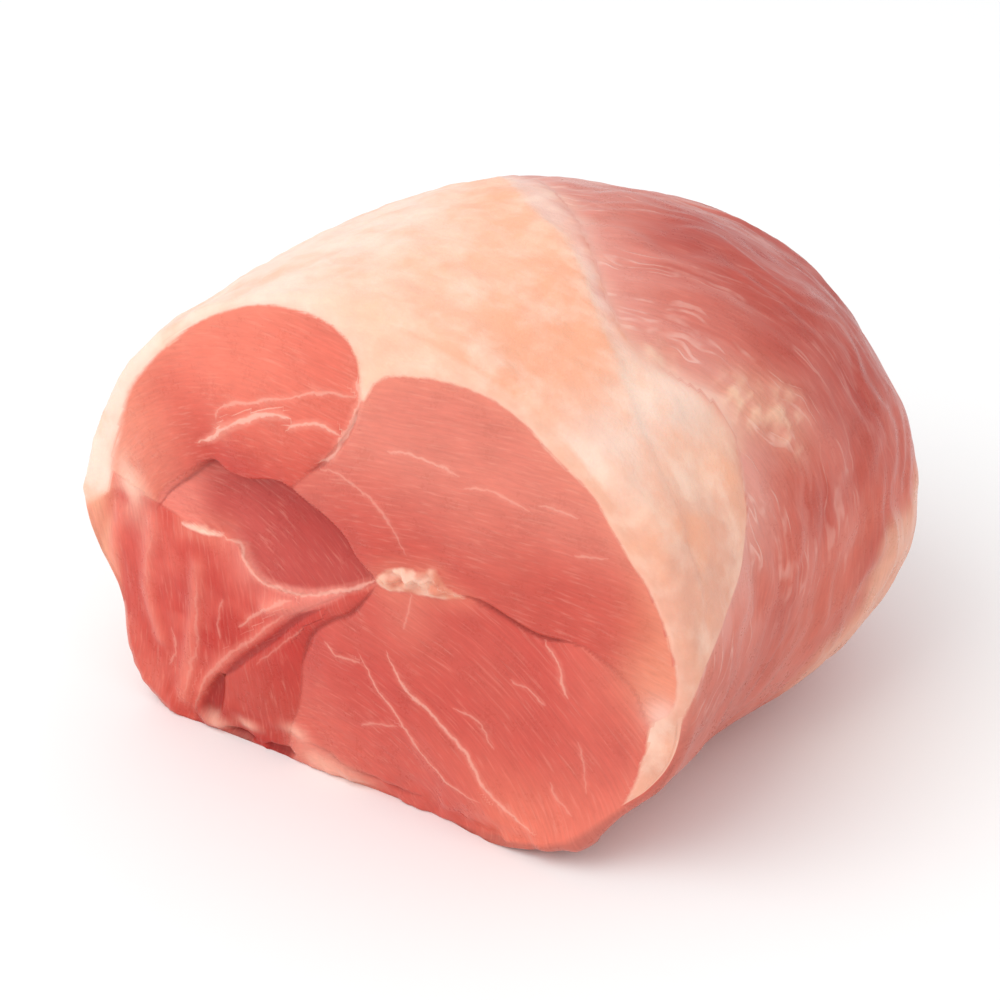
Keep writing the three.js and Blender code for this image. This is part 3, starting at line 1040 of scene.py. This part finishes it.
def make_mesh(name, place, sheet):
    """A mesh of the sheet's faces with its points at place, smoothly shaded."""
    mesh = bpy.data.meshes.new(name)
    mesh.vertices.add(len(place))
    mesh.vertices.foreach_set("co", place.ravel())
    corners = np.concatenate([sheet.quads.ravel(), sheet.triangles.ravel()])
    fours, threes = len(sheet.quads), len(sheet.triangles)
    starts = np.concatenate([np.arange(fours) * 4, fours * 4 + np.arange(threes) * 3])
    mesh.loops.add(len(corners))
    mesh.loops.foreach_set("vertex_index", corners)
    mesh.polygons.add(len(starts))
    mesh.polygons.foreach_set("loop_start", starts)
    mesh.polygons.foreach_set("use_smooth", np.ones(len(starts), bool))
    mesh.update(calc_edges=True)
    layer = mesh.uv_layers.new(name="OFBake")
    layer.data.foreach_set("uv", flat_layout(sheet).ravel())
    return mesh


def keep(mesh, name, values):
    """Stores three numbers for each point of the mesh, for its material to read."""
    layer = mesh.attributes.new(name, "FLOAT_VECTOR", "POINT")
    layer.data.foreach_set("vector", np.ascontiguousarray(values, float).ravel())


# ------------------------------------------------------------------------------ materials


class Board:
    """The node tree of a material, and the few ways nodes are put on it."""

    def __init__(self, name):
        self.material = bpy.data.materials.new(name)
        self.material.use_nodes = True
        self.tree = self.material.node_tree
        self.tree.nodes.clear()

    def node(self, kind, settings=None, inputs=None):
        """A node with its settings made first and then its inputs, each a value or a number."""
        made = self.tree.nodes.new(kind)
        for name, value in (settings or {}).items():
            setattr(made, name, value)
        for name, value in (inputs or {}).items():
            if isinstance(value, Value):
                self.tree.links.new(value.socket, made.inputs[name])
            else:
                made.inputs[name].default_value = value
        return made

    def out(self, kind, settings=None, inputs=None, name=0):
        """One output of a new node."""
        return Value(self, self.node(kind, settings, inputs).outputs[name])

    def math(self, operation, *values):
        return self.out("ShaderNodeMath", {"operation": operation}, dict(enumerate(values)))

    def mix(self, mask, below, above):
        """One colour laid over another as far as the mask says."""
        settings = {"data_type": "RGBA", "clamp_factor": True}
        return self.out("ShaderNodeMix", settings, {0: mask, 6: below, 7: above}, 2)

    def stored(self, name):
        """Three numbers kept at the points of the piece."""
        settings = {"attribute_name": name, "attribute_type": "GEOMETRY"}
        return self.out("ShaderNodeAttribute", settings, name="Vector")

    def parts(self, vector):
        """The three numbers of a vector."""
        made = self.node("ShaderNodeSeparateXYZ", inputs={0: vector})
        return [Value(self, socket) for socket in made.outputs]

    def joined(self, x, y, z=0.0):
        return self.out("ShaderNodeCombineXYZ", inputs={0: x, 1: y, 2: z})

    def noise(self, at, size, detail=2.0):
        """Noise from 0 to 1, of features that size in the units of the place given."""
        inputs = {"Vector": at, "Scale": 1 / size, "Detail": detail, "Roughness": 0.55}
        return self.out("ShaderNodeTexNoise", {"noise_dimensions": "3D"}, inputs, "Fac")

    def finish(self, shader):
        self.node("ShaderNodeOutputMaterial", inputs={"Surface": shader})
        return self.material


class Value:
    """A number, vector or colour of a material, that sums can be written with."""

    def __init__(self, board, socket):
        self.board = board
        self.socket = socket

    def __add__(self, other):
        return self.board.math("ADD", self, other)

    def __radd__(self, other):
        return self.board.math("ADD", other, self)

    def __sub__(self, other):
        return self.board.math("SUBTRACT", self, other)

    def __rsub__(self, other):
        return self.board.math("SUBTRACT", other, self)

    def __mul__(self, other):
        return self.board.math("MULTIPLY", self, other)

    def __rmul__(self, other):
        return self.board.math("MULTIPLY", other, self)

    def __abs__(self):
        return self.board.math("ABSOLUTE", self)

    def step(self, low, high):
        """0 below low, 1 above high, and a smooth step between."""
        inputs = {"Value": self, "From Min": low, "From Max": high}
        return self.board.out("ShaderNodeMapRange", {"interpolation_type": "SMOOTHSTEP"}, inputs)

    def scaled(self, amount):
        """A vector or a colour times a number."""
        inputs = {0: self, "Scale": amount}
        return self.board.out("ShaderNodeVectorMath", {"operation": "SCALE"}, inputs)

    def times(self, other):
        """Two colours multiplied channel by channel."""
        inputs = {0: self, 1: other}
        return self.board.out("ShaderNodeVectorMath", {"operation": "MULTIPLY"}, inputs)


def meat_material(look):
    """Muscle with fibres, fine fat, silverskin, seams and painted shade in the creases, and fat with its
    own mottling. The muscle and fat meet where the stored distance crosses 0, roughened by fine noise."""
    board = Board("raw_pork")
    place = board.out("ShaderNodeTexCoord", name="Object").scaled(1 / MM)
    depth, silver, softness = board.parts(board.stored("cover"))
    along_fibre, across_fibre, streaky = board.parts(board.stored("grain"))
    rough_edge = board.noise(place, 2.2, 3.0) - 0.5
    coarse = board.noise(place, 9.0, 3.0) - 0.5
    fine_fibre = board.noise(board.joined(along_fibre * 0.13, across_fibre), 0.9, 2.0) - 0.5
    bundle = board.noise(board.joined(along_fibre * 0.12, across_fibre, 9.0), 4.5, 2.0) - 0.5
    speck = board.noise(place, 1.1, 2.0) - 0.5
    tone = 1 + look.fibre_contrast * fine_fibre + 0.12 * bundle + 0.22 * coarse + 0.05 * speck
    muscle = board.stored("flesh").scaled(tone).times((*look.muscle_tint,))
    marbling = board.noise(board.joined(along_fibre * 0.13, across_fibre, 5.0), 1.0, 2.0)
    fine_fat = marbling.step(0.5, 0.74) * streaky * board.noise(place, 16.0, 3.0).step(0.25, 0.62)
    muscle = board.mix(fine_fat * 0.24, muscle, opaque(246, 172, 152))
    drift = across_fibre + 14 * (board.noise(place, 24.0, 2.0) - 0.5)
    strand = board.noise(board.joined(along_fibre * 0.16, drift, 3.0), 8.0, 3.0)
    veil = (strand + 0.5 * (board.noise(place, 40.0, 2.0) - 0.5)).step(0.4, 0.66) * silver
    muscle = board.mix(veil * 0.6, muscle, opaque(226, 156, 144))
    ripple = abs(board.noise(board.joined(along_fibre * 0.12, drift, 13.0), 8.0, 2.0) - 0.5)
    thread = (0.028 - ripple).step(0.0, 0.022) * board.noise(place, 9.0, 2.0).step(0.4, 0.65) * silver
    muscle = board.mix(thread * 0.45, muscle, opaque(246, 204, 190))
    skin = veil * 0.5 + thread
    # Painted shade: dark red drawn along the creases where one muscle turns under another.
    dark_gap, dark_width, dark_strength = board.parts(board.stored("dark"))
    crease = (dark_width - abs(dark_gap + 0.5 * rough_edge)).step(-0.55, 0.5) * dark_strength
    muscle = board.mix(crease * 0.8, muscle, opaque(150, 50, 46))
    gap, width, strength = board.parts(board.stored("white"))
    wobble = gap + 1.2 * rough_edge + 2.4 * (board.noise(place, 5.5, 2.0) - 0.5)
    broken = board.noise(place, 7.5, 2.0).step(0.25, 0.6)
    line = (width * (0.4 + 0.8 * broken + 0.8 * speck) - abs(wobble)).step(-0.35, 0.3) * strength
    halo = (width - abs(wobble) * 0.4).step(-0.5, 0.4) * strength * width.step(0.0, 0.1)
    muscle = board.mix(halo * 0.34, muscle, opaque(250, 165, 145))
    muscle = board.mix(line * width.step(0.0, 0.05) * 0.55, muscle, opaque(246, 190, 172))
    mottle = board.noise(place, 14.0, 4.0) - 0.5
    lump = board.noise(place, 4.5, 3.0) - 0.5
    wrinkle = board.noise(board.joined(along_fibre * 0.3, drift, 33.0), 2.4, 3.0) - 0.5
    fat_tone = 1 + 0.16 * mottle + 0.14 * lump + 0.1 * wrinkle
    fat = board.stored("fat").scaled(fat_tone).times((*look.fat_tint,))
    blush = board.noise(place, 17.0, 3.0).step(0.42, 0.7)
    fat = board.mix(blush * 0.55 * streaky, fat, opaque(246, 176, 142))
    cloud = board.noise(board.joined(along_fibre, across_fibre, 40.0), 13.0, 4.0).step(0.42, 0.72)
    fat = board.mix(cloud * 0.38, fat, opaque(252, 224, 204))
    streak = board.noise(board.joined(along_fibre * 0.5, drift, 21.0), 11.0, 4.0)
    fat = board.mix(streak.step(0.5, 0.72) * 0.25, fat, opaque(252, 226, 210))
    fat = board.mix(streak.step(0.46, 0.3) * 0.25, fat, opaque(242, 170, 140))
    strand_edge = (strand - 0.5) * softness * 2.5
    boundary = depth + 0.8 * rough_edge + 1.3 * coarse + strand_edge
    edge = board.math("DIVIDE", boundary, softness).step(-1.0, 1.0)
    colour = board.mix(edge, fat, muscle)
    fibre_height = (0.22 * fine_fibre + 0.2 * bundle + 0.35 * skin) * (depth - 1.0).step(0.0, 3.0)
    fat_height = (0.9 * lump + 0.3 * wrinkle + 0.35 * speck) * (-1.0 - depth).step(0.0, 3.0)
    height = fibre_height + fat_height + 0.06 * speck - 0.5 * crease + 0.2 * line
    relief = {"Height": height, "Distance": look.fine_relief, "Strength": 0.8}
    bump = board.out("ShaderNodeBump", inputs=relief)
    rough = 0.31 + 0.12 * (1 - edge) + 0.3 * coarse + 0.15 * speck
    surface = {
        "Base Color": colour,
        "Roughness": rough,
        "Normal": bump,
        "IOR": 1.38,
        "Specular IOR Level": 0.24,
        "Subsurface Weight": 0.12,
        "Subsurface Radius": (1.0, 0.4, 0.25),
        "Subsurface Scale": 0.004,
    }
    return board.finish(board.out("ShaderNodeBsdfPrincipled", inputs=surface))


def floor_material(look):
    """A plain matt floor with a trace of unevenness."""
    board = Board("pale_floor")
    place = board.out("ShaderNodeTexCoord", name="Object")
    shade = 1 + 0.01 * (board.noise(place, 0.3) - 0.5)
    colour = board.out("ShaderNodeRGB")
    colour.socket.default_value = (*look.floor_colour, 1)
    inputs = {"Base Color": colour.scaled(shade), "Roughness": 0.8}
    return board.finish(board.out("ShaderNodeBsdfPrincipled", inputs=inputs))


# -------------------------------------------------------------------- settings and operators


class PorkLegLook(bpy.types.PropertyGroup):
    """How the meat is shaped and coloured."""

    relief: bpy.props.FloatProperty(
        name="Relief", description="Share of the muscles' and fat's relief", default=1.0, min=0, max=1.5,
        subtype="FACTOR",
    )
    fine_relief: bpy.props.FloatProperty(
        name="Fine relief", description="Depth of the fibres and grains in the shading",
        default=0.0005, unit="LENGTH", precision=5,
    )
    fibre_contrast: bpy.props.FloatProperty(
        name="Fibre contrast", description="How strongly single fibres show", default=0.26,
    )
    muscle_tint: bpy.props.FloatVectorProperty(
        name="Muscle tint", description="Multiplies every muscle colour", subtype="COLOR",
        default=(0.95, 0.93, 0.92), min=0, max=2,
    )
    fat_tint: bpy.props.FloatVectorProperty(
        name="Fat tint", description="Multiplies every fat colour", subtype="COLOR",
        default=(0.96, 0.95, 0.95), min=0, max=2,
    )


class PorkLegStudio(bpy.types.PropertyGroup):
    """The floor, the light and the camera."""

    floor_width: bpy.props.FloatProperty(
        name="Floor width", description="Side of the square floor", default=6.0, unit="LENGTH",
    )
    floor_colour: bpy.props.FloatVectorProperty(
        name="Floor colour", description="Colour of the floor", subtype="COLOR",
        default=(0.95, 0.96, 0.96), min=0, max=1,
    )
    sky: bpy.props.FloatProperty(
        name="Sky", description="Brightness of the even light from all around", default=0.92,
    )
    key_power: bpy.props.FloatProperty(
        name="Key light", description="Power of the large soft light", default=9.5, unit="POWER",
    )
    key_width: bpy.props.FloatProperty(
        name="Key light width", description="Side of the soft light", default=1.3, unit="LENGTH",
    )
    camera_turn: bpy.props.FloatProperty(
        name="Camera turn", description="Degrees round from the front, towards the right",
        default=math.radians(31.0), subtype="ANGLE",
    )
    camera_lift: bpy.props.FloatProperty(
        name="Camera lift", description="Degrees above the table", default=math.radians(30.5),
        subtype="ANGLE",
    )
    camera_distance: bpy.props.FloatProperty(
        name="Camera distance", description="From the point looked at", default=0.85, unit="LENGTH",
    )
    lens: bpy.props.FloatProperty(
        name="Lens", description="Focal length in millimetres", default=100.0,
    )


LOOK_AT = (-10.1, -10.4, 54.0)  # the point the camera looks at, in millimetres
KEY_TURN = math.radians(-22)
KEY_LIFT = math.radians(52)
KEY_DISTANCE = 1.6


def direction(turn, lift):
    """The way out from the object at a turn round from the front and a lift above the table."""
    return Vector((math.sin(turn) * math.cos(lift), -math.cos(turn) * math.cos(lift), math.sin(lift)))


class PORKLEG_OT_meat(bpy.types.Operator):
    """Builds the leg of pork as one closed surface"""

    bl_idname = "pork_leg.meat"
    bl_label = "Pork leg"

    def execute(self, context):
        look = context.scene.pork_leg_look
        sheet = Sheet()
        meat = Meat(sheet)
        moved = meat.shaped(look.relief)
        plain_low, plain_high = sheet.place.min(0), sheet.place.max(0)
        box_low, box_high = (np.array(corner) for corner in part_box(NODE))
        middle = (plain_low + plain_high) / 2
        middle[2] = plain_low[2]
        stand = (box_low + box_high) / 2
        stand[2] = box_low[2]
        mesh = make_mesh(PIECE, (moved - middle) * MM + stand, sheet)
        muscle, fat = meat.colours()
        keep(mesh, "flesh", muscle)
        keep(mesh, "fat", fat)
        keep(mesh, "cover", meat.cover())
        keep(mesh, "grain", meat.grain())
        keep(mesh, "white", meat.white.numbers())
        keep(mesh, "dark", meat.dark.numbers())
        mesh.materials.append(meat_material(look))
        piece = bpy.data.objects.new(PIECE, mesh)
        context.scene.collection.objects.link(piece)
        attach(piece, "root")
        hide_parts(NODE)
        return {"FINISHED"}


class PORKLEG_OT_studio(bpy.types.Operator):
    """Sets up a plain pale floor, soft light and the camera"""

    bl_idname = "pork_leg.studio"
    bl_label = "Studio"

    def execute(self, context):
        scene, look = context.scene, context.scene.pork_leg_studio
        half = look.floor_width / 2
        mesh = bpy.data.meshes.new("floor")
        corners = [(-half, -half, 0), (half, -half, 0), (half, half, 0), (-half, half, 0)]
        mesh.from_pydata(corners, [], [(0, 1, 2, 3)])
        mesh.materials.append(floor_material(look))
        floor = bpy.data.objects.new("floor", mesh)
        scene.collection.objects.link(floor)
        floor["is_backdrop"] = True
        world = bpy.data.worlds.new("sky")
        world.use_nodes = True
        background = next(n for n in world.node_tree.nodes if n.type == "BACKGROUND")
        background.inputs["Color"].default_value = (1, 1, 1, 1)
        background.inputs["Strength"].default_value = look.sky
        scene.world = world
        low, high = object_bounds()
        centre = (low + high) / 2
        self.soft_light(scene, centre, look)
        data = bpy.data.cameras.new("camera")
        data.lens = look.lens
        camera = bpy.data.objects.new("camera", data)
        target = Vector(LOOK_AT) * MM
        away = direction(look.camera_turn, look.camera_lift)
        camera.location = target + away * look.camera_distance
        camera.rotation_euler = away.to_track_quat("Z", "Y").to_euler()
        scene.collection.objects.link(camera)
        scene.camera = camera
        scene.view_settings.view_transform = "Standard"
        return {"FINISHED"}

    def soft_light(self, scene, centre, look):
        """A large square soft light, facing the object."""
        data = bpy.data.lights.new("key", "AREA")
        data.size = look.key_width
        data.energy = look.key_power
        light = bpy.data.objects.new("key", data)
        away = direction(KEY_TURN, KEY_LIFT)
        light.location = centre + away * KEY_DISTANCE
        light.rotation_euler = away.to_track_quat("Z", "Y").to_euler()
        scene.collection.objects.link(light)


class PORKLEG_PT_panel(bpy.types.Panel):
    """The builders and their settings, in the sidebar"""

    bl_idname = "PORKLEG_PT_panel"
    bl_label = "Pork Leg"
    bl_space_type = "VIEW_3D"
    bl_region_type = "UI"
    bl_category = "Pork Leg"

    def draw(self, context):
        for group, operator in (
            (context.scene.pork_leg_look, PORKLEG_OT_meat.bl_idname),
            (context.scene.pork_leg_studio, PORKLEG_OT_studio.bl_idname),
        ):
            box = self.layout.box()
            for name in group.__annotations__:
                box.prop(group, name)
            box.operator(operator)


CLASSES = (PorkLegLook, PorkLegStudio, PORKLEG_OT_meat, PORKLEG_OT_studio, PORKLEG_PT_panel)


def register():
    for cls in CLASSES:
        bpy.utils.register_class(cls)
    bpy.types.Scene.pork_leg_look = bpy.props.PointerProperty(type=PorkLegLook)
    bpy.types.Scene.pork_leg_studio = bpy.props.PointerProperty(type=PorkLegStudio)


def unregister():
    del bpy.types.Scene.pork_leg_studio
    del bpy.types.Scene.pork_leg_look
    for cls in reversed(CLASSES):
        bpy.utils.unregister_class(cls)


def main():
    register()
    bpy.ops.pork_leg.meat()
    bpy.ops.pork_leg.studio()


if __name__ == "__main__":
    main()
